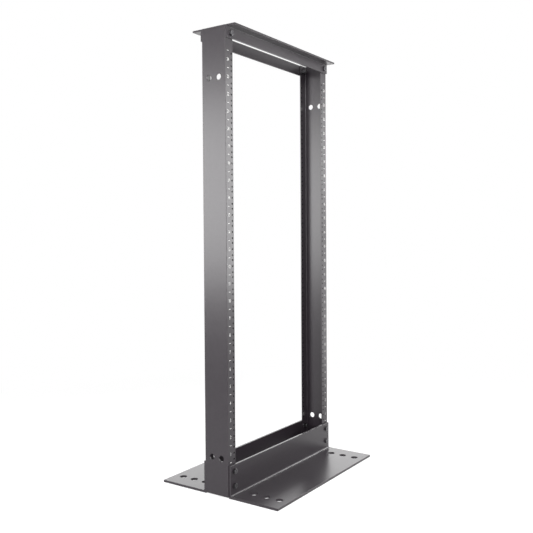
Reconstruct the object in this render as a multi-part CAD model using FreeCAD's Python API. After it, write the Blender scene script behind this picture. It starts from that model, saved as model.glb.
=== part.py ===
import FreeCAD, Part
import math
import os

from FreeCAD import Vector

# Two post open frame equipment rack, 24 units high, standing on its own base.
# All sizes are in millimetres. X runs across the rack, with the left post at -X.
# Y runs from the front to the rear, Z is up, and the origin is on the floor
# in the middle of the base.

# Equipment hole grid
rack_units = 24
unit_height = 44.45
hole_column_spacing = 465.1       # between the hole columns of the two posts
unit_edge_distance = 6.35         # from a unit's edge to its nearest hole
equipment_hole_diameter = 5.2

# Posts, cut from channel bar with nearly sharp outer corners, which face each other
post_depth = 76.2
post_wall = 3.0
post_corner_radius = 0.8          # outside, between the web and a flange
post_root_fillet = 1.6            # inside, between the web and a flange
post_edge_ease = 0.5
flange_width = 31.75
hole_edge_distance = 6.3          # from an equipment hole to the flange's free edge
foot_margin = 88.9                # from a post's foot to the lowest unit
head_margin = 63.5                # from the highest unit to a post's head
post_floor_gap = 3.2              # the base angles alone touch the floor

# Holes through the webs of the posts
web_hole_diameter = 15.9
web_hole_spacing = 31.75
web_hole_foot_distance = 98.4     # above a post's foot
web_hole_head_distance = 130.2    # below a post's head

# Base angles, cut from unequal angle bar, one in front of the posts and one behind
base_reach = 152.4                # from a post's flange to the base's outer edge
base_height = 85.7
base_thickness = 6.35
base_root_fillet = 4.8
base_edge_ease = 1.0
base_end_gap = 2.4                # from a post's outer face to a base angle's end

# Floor holes, a row of them at each end of each base angle
floor_hole_diameter = 20.6
floor_hole_count = 3
floor_hole_spacing = 39.7
floor_hole_edge_distance = 28.6   # from the base's outer edge to the nearest hole
floor_hole_end_distance = 50.0    # from a base angle's end

# Top angles, cut from equal angle bar, one in front of the posts and one behind
top_reach = 31.75
top_height = 31.75
top_thickness = 4.76
top_root_fillet = 0.8
top_edge_ease = 0.6
top_end_gap = 0.8                 # from a post's outer face to a top angle's end

# Bolts that join the angles to the flanges, with lock washers and nuts inside the posts
bolt_diameter = 8.0
bolt_hole_clearance = 1.0
bolt_edge_distance = 12.7         # from a bolt to the flange's free edge
base_bolt_height = 31.0           # lower base bolts, above the floor
base_bolt_edge_distance = 16.6    # upper base bolts, below the angle's upper edge
top_bolt_edge_distance = 12.7     # top bolts, above the angle's lower edge
hexagon_width = 13.0              # across the flats of heads and nuts
head_height = 5.3
head_dish_diameter = 7.0          # of the shallow dish in a bolt's head
head_dish_depth = 0.8
chamfer_angle = 30                # in degrees, on heads and nuts
washer_diameter = 14.8
washer_thickness = 2.0
washer_gap = 1.6
washer_clearance = 0.5
nut_height = 6.5
thread_clearance = 0.3
bolt_tail = 3.0                   # bolt end that stands out of the nut

# Sizes that follow from the ones above
opening_width = hole_column_spacing - 2 * hole_edge_distance
rack_width = opening_width + 2 * flange_width
post_length = foot_margin + rack_units * unit_height + head_margin
post_foot = post_floor_gap
post_head = post_foot + post_length
lowest_unit = post_foot + foot_margin
base_length = rack_width - 2 * base_end_gap
top_length = rack_width - 2 * top_end_gap
base_edge = post_depth / 2 + base_reach
bolt_x = opening_width / 2 + bolt_edge_distance
bolt_hole_diameter = bolt_diameter + bolt_hole_clearance
base_bolt_levels = [base_bolt_height, base_height - base_bolt_edge_distance]
top_bolt_level = post_head - top_height + top_bolt_edge_distance

X_AXIS = Vector(1, 0, 0)
Y_AXIS = Vector(0, 1, 0)
Z_AXIS = Vector(0, 0, 1)
LEFT, RIGHT = -1, 1
FRONT, REAR = -1, 1


def rounded_face(corners):
    """A flat face whose outline turns at the given corners, each a point and a radius."""
    edges = []
    ends = []
    for i, (point, radius) in enumerate(corners):
        if radius == 0:
            ends.append((point, point))
            continue
        to_last = (corners[i - 1][0] - point).normalize()
        to_next = (corners[(i + 1) % len(corners)][0] - point).normalize()
        half_angle = to_last.getAngle(to_next) / 2
        run = radius / math.tan(half_angle)
        middle = (to_last + to_next).normalize()
        start = point + to_last * run
        end = point + to_next * run
        crown = point + middle * (radius / math.sin(half_angle) - radius)
        edges.append(Part.Arc(start, crown, end).toShape())
        ends.append((start, end))
    for i, (start, end) in enumerate(ends):
        next_start = ends[(i + 1) % len(ends)][0]
        edges.append(Part.LineSegment(end, next_start).toShape())
    return Part.Face(Part.Wire(Part.__sortEdges__(edges)))


def through_hole(diameter, entry, axis, wall):
    """A round cutter through a wall whose face is at entry, longer than the wall at both ends."""
    start = entry - axis * diameter
    return Part.makeCylinder(diameter / 2, wall + 2 * diameter, start, axis)


def equipment_hole_levels():
    """Heights of all equipment holes, three to a unit, from the bottom up."""
    rows = [unit_edge_distance, unit_height / 2, unit_height - unit_edge_distance]
    return [lowest_unit + unit * unit_height + row for unit in range(rack_units) for row in rows]


def make_post(side):
    """A channel with its web outside and its flanges pointing at the other post."""
    outside = side * rack_width / 2
    inside = side * (rack_width / 2 - post_wall)
    free_edge = side * opening_width / 2
    front = -post_depth / 2
    rear = post_depth / 2
    outline = [
        (Vector(free_edge, front, post_foot), post_edge_ease),
        (Vector(outside, front, post_foot), post_corner_radius),
        (Vector(outside, rear, post_foot), post_corner_radius),
        (Vector(free_edge, rear, post_foot), post_edge_ease),
        (Vector(free_edge, rear - post_wall, post_foot), post_edge_ease),
        (Vector(inside, rear - post_wall, post_foot), post_root_fillet),
        (Vector(inside, front + post_wall, post_foot), post_root_fillet),
        (Vector(free_edge, front + post_wall, post_foot), post_edge_ease),
    ]
    post = rounded_face(outline).extrude(Z_AXIS * post_length)

    cutters = []
    for level in equipment_hole_levels():
        entry = Vector(side * hole_column_spacing / 2, front, level)
        cutters.append(through_hole(equipment_hole_diameter, entry, Y_AXIS, post_depth))
    for level in base_bolt_levels + [top_bolt_level]:
        entry = Vector(side * bolt_x, front, level)
        cutters.append(through_hole(bolt_hole_diameter, entry, Y_AXIS, post_depth))
    for level in [post_foot + web_hole_foot_distance, post_head - web_hole_head_distance]:
        for y in [-web_hole_spacing / 2, web_hole_spacing / 2]:
            entry = Vector(inside, y, level)
            cutters.append(through_hole(web_hole_diameter, entry, X_AXIS * side, post_wall))
    return post.cut(cutters)


def make_angle(face, length, heel_z, reach, height, thickness, root_fillet, edge_ease):
    """A piece of angle bar, its upright leg on the flanges of both posts.

    The outer faces of its two legs meet in the heel. A positive height stands
    the upright leg on a leg that lies at the heel, and a negative one hangs it.
    """
    flange = face * post_depth / 2
    up = 1 if height > 0 else -1
    left_end = -length / 2
    outline = [
        (Vector(left_end, flange, heel_z), edge_ease),
        (Vector(left_end, flange, heel_z + height), edge_ease),
        (Vector(left_end, flange + face * thickness, heel_z + height), edge_ease),
        (Vector(left_end, flange + face * thickness, heel_z + up * thickness), root_fillet),
        (Vector(left_end, flange + face * reach, heel_z + up * thickness), edge_ease),
        (Vector(left_end, flange + face * reach, heel_z), edge_ease),
    ]
    return rounded_face(outline).extrude(X_AXIS * length)


def make_base_angle(face):
    """A base angle with its bolt holes and its rows of floor holes."""
    angle = make_angle(
        face, base_length, 0, base_reach, base_height, base_thickness, base_root_fillet, base_edge_ease
    )
    cutters = []
    for side in [LEFT, RIGHT]:
        for level in base_bolt_levels:
            entry = Vector(side * bolt_x, face * post_depth / 2, level)
            cutters.append(through_hole(bolt_hole_diameter, entry, Y_AXIS * face, base_thickness))
        for i in range(floor_hole_count):
            x = side * (base_length / 2 - floor_hole_end_distance)
            y = face * (base_edge - floor_hole_edge_distance - i * floor_hole_spacing)
            cutters.append(through_hole(floor_hole_diameter, Vector(x, y, 0), Z_AXIS, base_thickness))
    return angle.cut(cutters)


def make_top_angle(face):
    """A top angle, level with the heads of the posts, with one bolt hole at each end."""
    angle = make_angle(
        face, top_length, post_head, top_reach, -top_height, top_thickness, top_root_fillet, top_edge_ease
    )
    cutters = []
    for side in [LEFT, RIGHT]:
        entry = Vector(side * bolt_x, face * post_depth / 2, top_bolt_level)
        cutters.append(through_hole(bolt_hole_diameter, entry, Y_AXIS * face, top_thickness))
    return angle.cut(cutters)


def hexagon(start, axis, height):
    """A six sided block with an upright pair of sides, from start along axis."""
    corner_radius = hexagon_width / 2 / math.cos(math.radians(30))
    corners = []
    for angle in range(30, 390, 60):
        corner = Vector(math.cos(math.radians(angle)), 0, math.sin(math.radians(angle)))
        corners.append((start + corner * corner_radius, 0))
    return rounded_face(corners).extrude(axis * height)


def chamfered_hexagon(start, axis, height, turned_start, turned_end):
    """A hexagon whose corners are turned down to its flats at one end or both."""
    flat_radius = hexagon_width / 2
    outer_radius = hexagon_width
    fall = (outer_radius - flat_radius) * math.tan(math.radians(chamfer_angle))
    low_corner = (flat_radius, 0) if turned_start else (outer_radius, -fall)
    high_corner = (flat_radius, height) if turned_end else (outer_radius, height + fall)
    profile = [
        (0, low_corner[1]),
        low_corner,
        (outer_radius, low_corner[1] + fall),
        (outer_radius, high_corner[1] - fall),
        high_corner,
        (0, high_corner[1]),
    ]
    points = [(start + X_AXIS * radius + axis * rise, 0) for radius, rise in profile]
    turned = rounded_face(points).revolve(start, axis, 360)
    return hexagon(start, axis, height).common(turned)


def make_bolt(x, level, face, thickness):
    """A hexagon bolt whose head is outside the angle and whose end is inside the post."""
    outward = Y_AXIS * face
    seat = Vector(x, face * (post_depth / 2 + thickness), level)
    grip = thickness + post_wall + washer_thickness
    shank_length = grip + nut_height + bolt_tail
    dish_floor = seat + outward * (head_height - head_dish_depth)
    dish = Part.makeCylinder(head_dish_diameter / 2, head_height, dish_floor, outward)
    head = chamfered_hexagon(seat, outward, head_height, False, True).cut(dish)
    shank = Part.makeCylinder(bolt_diameter / 2, shank_length, seat, outward * -1)
    return head.fuse(shank).removeSplitter()


def make_washer(x, level, face):
    """A split lock washer between a flange's inner face and a nut."""
    inward = Y_AXIS * -face
    seat = Vector(x, face * (post_depth / 2 - post_wall), level)
    ring = Part.makeCylinder(washer_diameter / 2, washer_thickness, seat, inward)
    bore = through_hole(bolt_diameter + washer_clearance, seat, inward, washer_thickness)
    corner = Vector(-washer_gap / 2, -washer_thickness, 0)
    split = Part.makeBox(washer_gap, 3 * washer_thickness, washer_diameter, seat + corner)
    return ring.cut([bore, split])


def make_nut(x, level, face):
    """A hexagon nut on the lock washer inside a flange."""
    inward = Y_AXIS * -face
    seat = Vector(x, face * (post_depth / 2 - post_wall - washer_thickness), level)
    blank = chamfered_hexagon(seat, inward, nut_height, True, True)
    return blank.cut(through_hole(bolt_diameter + thread_clearance, seat, inward, nut_height))


def fastener_places():
    """The name, x, level, face and clamped thickness of every bolt."""
    levels = [("lower", base_bolt_levels[0], base_thickness)]
    levels.append(("upper", base_bolt_levels[1], base_thickness))
    levels.append(("top", top_bolt_level, top_thickness))
    places = []
    for face, face_name in [(FRONT, "front"), (REAR, "rear")]:
        for side, side_name in [(LEFT, "left"), (RIGHT, "right")]:
            for level_name, level, thickness in levels:
                name = f"{face_name}_{side_name}_{level_name}"
                places.append((name, side * bolt_x, level, face, thickness))
    return places


nodes = {
    "left_post": make_post(LEFT),
    "right_post": make_post(RIGHT),
    "front_base_angle": make_base_angle(FRONT),
    "rear_base_angle": make_base_angle(REAR),
    "front_top_angle": make_top_angle(FRONT),
    "rear_top_angle": make_top_angle(REAR),
}
for name, x, level, face, thickness in fastener_places():
    nodes[name + "_bolt"] = make_bolt(x, level, face, thickness)
    nodes[name + "_washer"] = make_washer(x, level, face)
    nodes[name + "_nut"] = make_nut(x, level, face)

os.makedirs("parts", exist_ok=True)
for name, shape in nodes.items():
    shape.exportStep(f"parts/{name}.step")
    print(name, len(shape.Solids), "solid", round(shape.Volume), "mm3")
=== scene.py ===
import math

import bmesh
import bpy
from mathutils import Matrix, Vector


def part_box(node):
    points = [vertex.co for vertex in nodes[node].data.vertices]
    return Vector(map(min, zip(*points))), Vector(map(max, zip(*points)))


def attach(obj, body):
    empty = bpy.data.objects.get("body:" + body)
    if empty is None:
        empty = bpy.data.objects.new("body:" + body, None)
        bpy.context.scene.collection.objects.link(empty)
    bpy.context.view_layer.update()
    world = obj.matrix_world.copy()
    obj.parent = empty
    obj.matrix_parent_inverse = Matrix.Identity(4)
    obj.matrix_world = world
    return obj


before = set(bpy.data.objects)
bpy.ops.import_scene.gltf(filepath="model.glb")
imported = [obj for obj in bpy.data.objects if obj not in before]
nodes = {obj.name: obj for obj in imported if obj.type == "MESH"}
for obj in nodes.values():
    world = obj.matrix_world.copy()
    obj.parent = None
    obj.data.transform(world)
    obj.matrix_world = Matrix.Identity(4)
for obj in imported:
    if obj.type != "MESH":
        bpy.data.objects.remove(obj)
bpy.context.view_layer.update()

MM = 0.001

# Posts and angles
# The two posts are lengths of steel channel bar, the base and top angles of steel angle bar.
# All six are cut, drilled and tapped first and then powder coated black, edges included.


def linear(hex_colour):
    """The linear RGBA colour of an sRGB hex value."""
    channels = [int(hex_colour[i:i + 2], 16) / 255 for i in (1, 3, 5)]
    curve = [c / 12.92 if c <= 0.04045 else ((c + 0.055) / 1.055) ** 2.4 for c in channels]
    return (*curve, 1.0)


def add_node(material, kind, settings=None, **inputs):
    """A shader node with its settings and its inputs, each a value or another node's output.

    An input is named for its socket, with _ for a space, or else is _ and the socket's number.
    """
    tree = material.node_tree
    node = tree.nodes.new(kind)
    for name, value in (settings or {}).items():
        setattr(node, name, value)
    for name, value in inputs.items():
        socket = node.inputs[int(name[1:])] if name[0] == "_" else node.inputs[name.replace("_", " ")]
        if isinstance(value, bpy.types.NodeSocket):
            tree.links.new(value, socket)
        else:
            socket.default_value = value
    return node


def new_material(name):
    """An empty material with only its output node, and that output's surface socket."""
    material = bpy.data.materials.new(name)
    material.use_nodes = True
    material.node_tree.nodes.clear()
    output = material.node_tree.nodes.new("ShaderNodeOutputMaterial")
    return material, output.inputs["Surface"]


# Powder coat, sprayed as dry resin and baked to a film. It flows out to a satin skin with a
# faint orange peel of low humps, over which lamps glow softly instead of mirroring.
powder_black = "#211c21"
powder_pale = "#2c272c"
peel_pitch = 1.4 * MM
peel_height = 0.05 * MM
peel_strength = 0.35             # of a bump, from 0 for smooth to 1 for its full height
grain_pitch = 0.35 * MM
grain_height = 0.03 * MM
grain_strength = 0.12
mottle_pitch = 9 * MM
film_roughness = 0.3
gloss_spread = 0.02              # up and down from that roughness
film_ior = 1.48

powder_coat, surface = new_material("black_powder_coat")
place = add_node(powder_coat, "ShaderNodeTexCoord").outputs["Object"]
peel = add_node(powder_coat, "ShaderNodeTexNoise", Vector=place, Scale=1 / peel_pitch, Detail=1.0)
grain = add_node(powder_coat, "ShaderNodeTexNoise", Vector=place, Scale=1 / grain_pitch, Detail=2.0)
mottle = add_node(powder_coat, "ShaderNodeTexNoise", Vector=place, Scale=1 / mottle_pitch, Detail=4.0)
tone = add_node(
    powder_coat, "ShaderNodeMix", {"data_type": "RGBA"},
    _0=mottle.outputs["Fac"], _6=linear(powder_black), _7=linear(powder_pale)
)
gloss = add_node(
    powder_coat, "ShaderNodeMapRange", Value=mottle.outputs["Fac"],
    To_Min=film_roughness - gloss_spread, To_Max=film_roughness + gloss_spread
)
grain_bump = add_node(
    powder_coat, "ShaderNodeBump", Height=grain.outputs["Fac"],
    Strength=grain_strength, Distance=grain_height
)
peel_bump = add_node(
    powder_coat, "ShaderNodeBump", Height=peel.outputs["Fac"],
    Strength=peel_strength, Distance=peel_height, Normal=grain_bump.outputs["Normal"]
)
film = add_node(
    powder_coat, "ShaderNodeBsdfPrincipled", Base_Color=tone.outputs[2],
    Roughness=gloss.outputs["Result"], IOR=film_ior, Normal=peel_bump.outputs["Normal"]
)
powder_coat.node_tree.links.new(film.outputs["BSDF"], surface)

frame_pieces = [
    "left_post", "right_post", "front_base_angle", "rear_base_angle",
    "front_top_angle", "rear_top_angle",
]
for name in frame_pieces:
    nodes[name].data.materials.clear()
    nodes[name].data.materials.append(powder_coat)

# Tapped equipment holes
# Each flange has three tapped holes a unit. Their threads are cut with a tap of 24 threads to the
# inch before the coating and keep a dull dusting of powder. Their near black is painted shade.
rack_units = 24
unit_height = 44.45 * MM
lowest_unit = 92.1 * MM
unit_edge_distance = 6.35 * MM   # from a unit's edge to its nearest hole
hole_edge_distance = 6.3 * MM    # from a hole to the flange's free edge
flange_wall = 3.0 * MM
tap_sleeve_radius = 2.62 * MM    # of its plain outside, just behind the plain hole's wall
tap_sleeve_wall = 0.03 * MM      # from there in to the thread's root
tap_crest_radius = 1.9 * MM      # with the powder on it
tap_pitch = 1.058 * MM
mouth_inset = 0.05 * MM          # of a thread's ends, behind the flange's faces
crest_flattening = 1.4           # 1 is a sharp crest, 2 a crest half a pitch wide


def thread_sleeve(plain_radius, root_radius, crest_radius, pitch, length, steps, rings):
    """Points and faces of a closed sleeve along Y with a thread on one side and a plain wall.

    The thread is a helix that rises and falls between its root and crest radius, and its crest
    is flattened. The plain wall is hidden in the piece that carries the thread.
    """
    points = []
    for ring in range(rings + 1):
        along = length * ring / rings
        for step in range(steps):
            phase = (along / pitch + step / steps) % 1
            rise = min(1, crest_flattening * (1 - abs(2 * phase - 1)))
            radius = root_radius + (crest_radius - root_radius) * rise
            turn = 2 * math.pi * step / steps
            points.append((radius * math.cos(turn), along, radius * math.sin(turn)))
    for along in (length, 0):
        for step in range(steps):
            turn = 2 * math.pi * step / steps
            points.append((plain_radius * math.cos(turn), along, plain_radius * math.sin(turn)))
    faces = []
    all_rings = rings + 3
    for ring in range(all_rings):
        for step in range(steps):
            here = ring * steps
            there = (ring + 1) % all_rings * steps
            after = (step + 1) % steps
            faces.append((here + step, here + after, there + after, there + step))
    return points, faces


def joined_sleeves(name, sleeve, places):
    """One mesh object with a copy of the sleeve at each place."""
    sleeve_points, sleeve_faces = sleeve
    points = []
    faces = []
    for x, y, z in places:
        first = len(points)
        points += [(x + px, y + py, z + pz) for px, py, pz in sleeve_points]
        faces += [tuple(first + corner for corner in face) for face in sleeve_faces]
    mesh = bpy.data.meshes.new(name)
    mesh.from_pydata(points, [], faces)
    bm = bmesh.new()
    bm.from_mesh(mesh)
    bmesh.ops.recalc_face_normals(bm, faces=bm.faces)
    bm.to_mesh(mesh)
    bm.free()
    piece = bpy.data.objects.new(name, mesh)
    bpy.context.scene.collection.objects.link(piece)
    return piece


# Only a thin dusting of powder gets into the cut threads. It bakes rough and quite matt.
# Its near black colour, darker than the coat, is painted shade in the holes.
thread_shade_black = "#0c0c0d"
thread_shade_pale = "#171718"
dust_pitch = 0.5 * MM
dust_roughness = 0.85
dust_specular = 0.15             # so thin a layer has hardly any film to shine

thread_powder_and_shade, surface = new_material("thread_powder_and_painted_shade")
place = add_node(thread_powder_and_shade, "ShaderNodeTexCoord").outputs["Object"]
specks = add_node(thread_powder_and_shade, "ShaderNodeTexNoise", Vector=place, Scale=1 / dust_pitch, Detail=2.0)
tone = add_node(
    thread_powder_and_shade, "ShaderNodeMix", {"data_type": "RGBA"},
    _0=specks.outputs["Fac"], _6=linear(thread_shade_black), _7=linear(thread_shade_pale)
)
dust = add_node(
    thread_powder_and_shade, "ShaderNodeBsdfPrincipled", Base_Color=tone.outputs[2],
    Roughness=dust_roughness, Specular_IOR_Level=dust_specular
)
thread_powder_and_shade.node_tree.links.new(dust.outputs["BSDF"], surface)

hole_rows = [unit_edge_distance, unit_height / 2, unit_height - unit_edge_distance]
hole_levels = [lowest_unit + unit * unit_height + row for unit in range(rack_units) for row in hole_rows]
tapped_length = flange_wall - 2 * mouth_inset
tapped = thread_sleeve(
    tap_sleeve_radius, tap_sleeve_radius - tap_sleeve_wall, tap_crest_radius,
    tap_pitch, tapped_length, steps=12, rings=11
)
for side_name, side in [("left", -1), ("right", 1)]:
    low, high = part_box(side_name + "_post")
    free_edge = high.x if side < 0 else low.x
    x = free_edge + side * hole_edge_distance
    for face_name, y in [("front", low.y), ("rear", high.y - flange_wall)]:
        places = [(x, y + mouth_inset, level) for level in hole_levels]
        threads = joined_sleeves(f"{side_name}_{face_name}_hole_threads", tapped, places)
        # The threads carry the dull powder with the holes' painted shade.
        threads.data.materials.append(thread_powder_and_shade)
        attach(threads, "root")

# Bolts, lock washers and nuts
# Twelve hexagon bolts clamp the angles to the flanges, each with a split lock washer and a nut
# inside the post. They are cold formed steel, blackened in a hot oxide bath.
oxide_black = "#6a696c"
oxide_bare = "#8f8d88"
rub_pitch = 2.5 * MM
rub_start = 0.55                 # of the noise, where the oxide starts to be rubbed off
rub_full = 0.75
tool_mark_pitch = 0.4 * MM
tool_mark_depth = 0.03 * MM
tool_mark_strength = 0.2
oxide_roughness = 0.28

black_oxide, surface = new_material("black_oxide_steel")
place = add_node(black_oxide, "ShaderNodeTexCoord").outputs["Object"]
rub = add_node(black_oxide, "ShaderNodeTexNoise", Vector=place, Scale=1 / rub_pitch, Detail=3.0)
rub_places = add_node(
    black_oxide, "ShaderNodeMapRange", Value=rub.outputs["Fac"],
    From_Min=rub_start, From_Max=rub_full
)
tone = add_node(
    black_oxide, "ShaderNodeMix", {"data_type": "RGBA"},
    _0=rub_places.outputs["Result"], _6=linear(oxide_black), _7=linear(oxide_bare)
)
tool_marks = add_node(
    black_oxide, "ShaderNodeTexNoise", Vector=place, Scale=1 / tool_mark_pitch, Detail=1.0
)
mark_bump = add_node(
    black_oxide, "ShaderNodeBump", Height=tool_marks.outputs["Fac"],
    Strength=tool_mark_strength, Distance=tool_mark_depth
)
steel = add_node(
    black_oxide, "ShaderNodeBsdfPrincipled", Base_Color=tone.outputs[2], Metallic=1.0,
    Roughness=oxide_roughness, Normal=mark_bump.outputs["Normal"]
)
black_oxide.node_tree.links.new(steel.outputs["BSDF"], surface)
for name, piece in nodes.items():
    if name.endswith(("_bolt", "_washer", "_nut")):
        piece.data.materials.clear()
        piece.data.materials.append(black_oxide)

# The bolts' ends stand out of the nuts with rolled threads, whose ridges rise over the shank.
shank_radius = 4.0 * MM
bolt_crest_radius = 4.15 * MM
bolt_root_depth = 0.05 * MM      # under the shank's surface
bolt_sleeve_depth = 0.2 * MM     # of the thread's plain inside, under the same surface
bolt_pitch = 1.25 * MM
bolt_end_length = 2.8 * MM
end_inset = 0.1 * MM             # of the thread, behind the bolt's end

rolled = thread_sleeve(
    shank_radius - bolt_sleeve_depth, shank_radius - bolt_root_depth, bolt_crest_radius,
    bolt_pitch, bolt_end_length, steps=24, rings=10
)
ends = []
for name in nodes:
    if name.endswith("_bolt"):
        bolt_low, bolt_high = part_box(name)
        if name.startswith("front"):
            y = bolt_high.y - end_inset - bolt_end_length
        else:
            y = bolt_low.y + end_inset
        ends.append(((bolt_low.x + bolt_high.x) / 2, y, (bolt_low.z + bolt_high.z) / 2))
bolt_threads = joined_sleeves("bolt_end_threads", rolled, ends)
bolt_threads.data.materials.append(black_oxide)
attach(bolt_threads, "root")

# Unit marks
# Each flange carries a printed scale beside its holes: a short line at every unit's edge and the
# unit's number between two lines. It is white ink, screen printed on the powder coat.
mark_distance = 11.5 * MM        # from a post's outer face to the middle of the marks
line_length = 7.0 * MM
line_width = 1.1 * MM
digit_height = 9.0 * MM
digit_narrowing = 0.72           # of the digits, against the built in font
ink_thickness = 0.06 * MM
stroke_gain = 0.06 * MM          # of the digits' strokes, on each side
cap_height = 0.73                # of a digit in the built in font, as a share of its size


def number_mesh(number):
    """The mesh of a number, centred on the origin, upright in XZ and facing -Y."""
    curve = bpy.data.curves.new("number", "FONT")
    curve.body = str(number)
    curve.size = digit_height / cap_height
    curve.align_x = "CENTER"
    curve.offset = stroke_gain
    curve.resolution_u = 3
    text = bpy.data.objects.new("number", curve)
    bpy.context.scene.collection.objects.link(text)
    bpy.context.view_layer.update()
    mesh = bpy.data.meshes.new_from_object(text.evaluated_get(bpy.context.evaluated_depsgraph_get()))
    bpy.data.objects.remove(text)
    upright = Matrix.Rotation(math.radians(90), 4, "X") @ Matrix.Diagonal((digit_narrowing, 1, 1, 1))
    mesh.transform(upright @ Matrix.Translation((0, -digit_height / 2, 0)))
    return mesh


def marks_mesh(name, place, turn):
    """All lines and numbers of one flange, on the flat face at place, as one thin printed layer."""
    bm = bmesh.new()
    for number in range(1, rack_units + 1):
        mesh = number_mesh(number)
        mesh.transform(Matrix.Translation((0, 0, lowest_unit + (number - 0.5) * unit_height)))
        bm.from_mesh(mesh)
        bpy.data.meshes.remove(mesh)
    for edge in range(rack_units + 1):
        level = lowest_unit + edge * unit_height
        sides = [(-1, -1), (1, -1), (1, 1), (-1, 1)]
        corners = [bm.verts.new((x * line_length / 2, 0, level + z * line_width / 2)) for x, z in sides]
        bm.faces.new(corners)
    printed = bmesh.ops.extrude_face_region(bm, geom=bm.faces[:])
    raised = [item for item in printed["geom"] if isinstance(item, bmesh.types.BMVert)]
    bmesh.ops.translate(bm, verts=raised, vec=(0, -ink_thickness, 0))
    bmesh.ops.recalc_face_normals(bm, faces=bm.faces)
    bm.transform(Matrix.Translation(place) @ Matrix.Rotation(turn, 4, "Z"))
    mesh = bpy.data.meshes.new(name)
    bm.to_mesh(mesh)
    bm.free()
    return mesh


# Screen ink lies in a thin matt film that is slightly broken where the coat's humps hold it off.
ink_white = "#e0e0de"
ink_thin = "#a6a6a4"
ink_break_pitch = 0.6 * MM
break_start = 0.58               # of the noise, where the ink starts to thin
break_full = 0.8
ink_roughness = 0.55

screen_ink, surface = new_material("white_screen_ink")
place = add_node(screen_ink, "ShaderNodeTexCoord").outputs["Object"]
breaks = add_node(screen_ink, "ShaderNodeTexNoise", Vector=place, Scale=1 / ink_break_pitch, Detail=2.0)
thin = add_node(
    screen_ink, "ShaderNodeMapRange", Value=breaks.outputs["Fac"],
    From_Min=break_start, From_Max=break_full
)
tone = add_node(
    screen_ink, "ShaderNodeMix", {"data_type": "RGBA"},
    _0=thin.outputs["Result"], _6=linear(ink_white), _7=linear(ink_thin)
)
ink = add_node(
    screen_ink, "ShaderNodeBsdfPrincipled", Base_Color=tone.outputs[2], Roughness=ink_roughness
)
screen_ink.node_tree.links.new(ink.outputs["BSDF"], surface)

for side_name, side in [("left", -1), ("right", 1)]:
    low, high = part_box(side_name + "_post")
    outer_face = low.x if side < 0 else high.x
    x = outer_face - side * mark_distance
    for face_name, y, turn in [("front", low.y, 0.0), ("rear", high.y, math.pi)]:
        name = f"{side_name}_{face_name}_unit_marks"
        marks = bpy.data.objects.new(name, marks_mesh(name, (x, y, 0), turn))
        bpy.context.scene.collection.objects.link(marks)
        marks.data.materials.append(screen_ink)
        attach(marks, "root")

# Floor and background
# A plain white studio floor runs to a plain white background. Camera and gloss see both white.
# Around the rack the floor's paint carries more of that white, so the soft shadow stays on it.
floor_half = 12.0
shadow_reach = 0.7               # metres from the rack's middle over which the paint is lit
white_reach = 1.6                # from here on the floor only glows white
near_glow = 0.5                  # of the white beside the rack, whatever the lamps do
near_paint = 0.62                # of the paint there, which the lamps and the shadow show on
bounce_grey = 0.75               # share of the lamps' light that the floor sends back up
white = linear("#ffffff")


def sees_white(shader):
    """An output that is 1 for the camera's rays and those of gloss and glass, and else 0."""
    ray = add_node(shader, "ShaderNodeLightPath").outputs
    seen = add_node(
        shader, "ShaderNodeMath", {"operation": "MAXIMUM"}, _0=ray["Is Camera Ray"], _1=ray["Is Glossy Ray"]
    )
    seen = add_node(
        shader, "ShaderNodeMath", {"operation": "MAXIMUM"},
        _0=seen.outputs[0], _1=ray["Is Transmission Ray"]
    )
    return seen.outputs[0]


floor_paint, surface = new_material("white_studio_floor")
place = add_node(floor_paint, "ShaderNodeNewGeometry").outputs["Position"]
distance = add_node(floor_paint, "ShaderNodeVectorMath", {"operation": "LENGTH"}, _0=place)
far = add_node(
    floor_paint, "ShaderNodeMapRange", {"interpolation_type": "SMOOTHSTEP"},
    Value=distance.outputs["Value"], From_Min=shadow_reach, From_Max=white_reach
)
glow = add_node(
    floor_paint, "ShaderNodeMapRange", Value=far.outputs["Result"], To_Min=near_glow, To_Max=1.0
)
paint_tone = add_node(
    floor_paint, "ShaderNodeMapRange", Value=far.outputs["Result"], To_Min=near_paint, To_Max=0.0
)
lit = add_node(floor_paint, "ShaderNodeBsdfDiffuse", Color=(bounce_grey, bounce_grey, bounce_grey, 1))
paint = add_node(floor_paint, "ShaderNodeBsdfDiffuse", Color=paint_tone.outputs["Result"])
glowing = add_node(floor_paint, "ShaderNodeEmission", Color=white, Strength=glow.outputs["Result"])
shown = add_node(floor_paint, "ShaderNodeAddShader", _0=paint.outputs[0], _1=glowing.outputs[0])
blend = add_node(
    floor_paint, "ShaderNodeMixShader",
    _0=sees_white(floor_paint), _1=lit.outputs[0], _2=shown.outputs[0]
)
floor_paint.node_tree.links.new(blend.outputs[0], surface)

bm = bmesh.new()
bmesh.ops.create_grid(bm, x_segments=1, y_segments=1, size=floor_half)
floor_mesh = bpy.data.meshes.new("studio_floor")
bm.to_mesh(floor_mesh)
bm.free()
floor = bpy.data.objects.new("studio_floor", floor_mesh)
bpy.context.scene.collection.objects.link(floor)
floor.data.materials.append(floor_paint)

room_light = 0.15                # of white, as the soft light that the world sheds
world = bpy.data.worlds.new("white_studio")
bpy.context.scene.world = world
world.use_nodes = True
world.node_tree.nodes.clear()
strength = add_node(world, "ShaderNodeMapRange", Value=sees_white(world), To_Min=room_light, To_Max=1.0)
sky = add_node(world, "ShaderNodeBackground", Color=white, Strength=strength.outputs["Result"])
add_node(world, "ShaderNodeOutputWorld", Surface=sky.outputs[0])

# Lamps
# Soft boxes stand around the rack as in a product studio. The front one gives all faces their tone,
# the left ones glow in the posts' webs, the near ones in the front flanges, the one behind the rack
# in the base plates, and the high one at the right along edges and roots.


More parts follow.
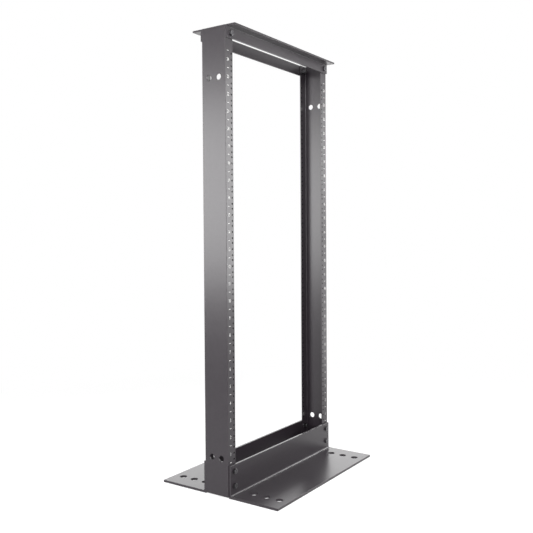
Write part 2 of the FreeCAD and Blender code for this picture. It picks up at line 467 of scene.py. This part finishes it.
def soft_box(name, centre, target, width, height, luminance):
    """A rectangular lamp that faces target. Its luminance is 1 where it would look white."""
    lamp = bpy.data.lights.new(name, "AREA")
    lamp.shape = "RECTANGLE"
    lamp.size = width
    lamp.size_y = height
    lamp.energy = luminance * math.pi * width * height
    box = bpy.data.objects.new(name, lamp)
    box.location = centre
    box.rotation_euler = (Vector(target) - Vector(centre)).to_track_quat("-Z", "Y").to_euler()
    box.visible_camera = False
    bpy.context.scene.collection.objects.link(box)


# Each box has its place, the point it faces, its width and height in metres, and its luminance.
soft_box("overhead_soft_box", (-0.3, -0.2, 3.2), (0, 0, 0.5), 2.4, 2.4, 0.2)
soft_box("front_soft_box", (-2.4, -2.6, 1.6), (0, 0, 0.6), 2.0, 2.0, 12.0)
soft_box("left_soft_box", (-1.75, 1.1, 0.93), (-0.25, 0, 0.88), 1.3, 1.0, 8.7)
soft_box("rear_soft_box", (3.2, 3.2, 1.2), (0, 0, 0.3), 6.0, 2.2, 1.95)
soft_box("right_soft_box", (1.4, -0.95, 0.6), (0, 0, 0.6), 1.2, 1.2, 0.65)
soft_box("near_strip_box", (0.56, -0.645, 0.9), (-0.23, -0.04, 0.86), 0.3, 0.9, 6.6)
soft_box("right_high_box", (1.87, -0.3, 1.15), (0, -0.05, 0.05), 0.6, 0.6, 10.0)
soft_box("left_high_box", (-2.25, 0, 1.6), (-0.2, 0, 1.0), 1.0, 0.6, 2.5)
soft_box("near_panel_box", (1.1, -0.54, 0.7), (0.23, -0.04, 0.7), 0.35, 1.35, 0.82)

# Camera
# It stands in front and to the left, a little above the rack's middle, and looks along a nearly
# level line. Its frame is square.
camera_place = (-1.6854, -1.1477, 0.6833)
camera_heading = 34.11           # degrees from +X towards +Y
camera_tilt = -1.333             # degrees up from level
camera_roll = -0.359
sensor_width = 36.0              # millimetres
focal_pixels = 701.86
picture_pixels = 533
axis_right_pixels = 6.08         # from the picture's middle to the optical axis
axis_up_pixels = 15.0

camera_data = bpy.data.cameras.new("camera")
camera_data.sensor_width = sensor_width
camera_data.lens = focal_pixels / picture_pixels * sensor_width
camera_data.shift_x = -axis_right_pixels / picture_pixels
camera_data.shift_y = -axis_up_pixels / picture_pixels
camera = bpy.data.objects.new("camera", camera_data)
heading = Matrix.Rotation(math.radians(camera_heading - 90), 4, "Z")
tilt = Matrix.Rotation(math.radians(90 + camera_tilt), 4, "X")
roll = Matrix.Rotation(math.radians(camera_roll), 4, "Z")
camera.matrix_world = Matrix.Translation(camera_place) @ heading @ tilt @ roll
bpy.context.scene.collection.objects.link(camera)
bpy.context.scene.camera = camera
bpy.context.scene.view_settings.view_transform = "Standard"
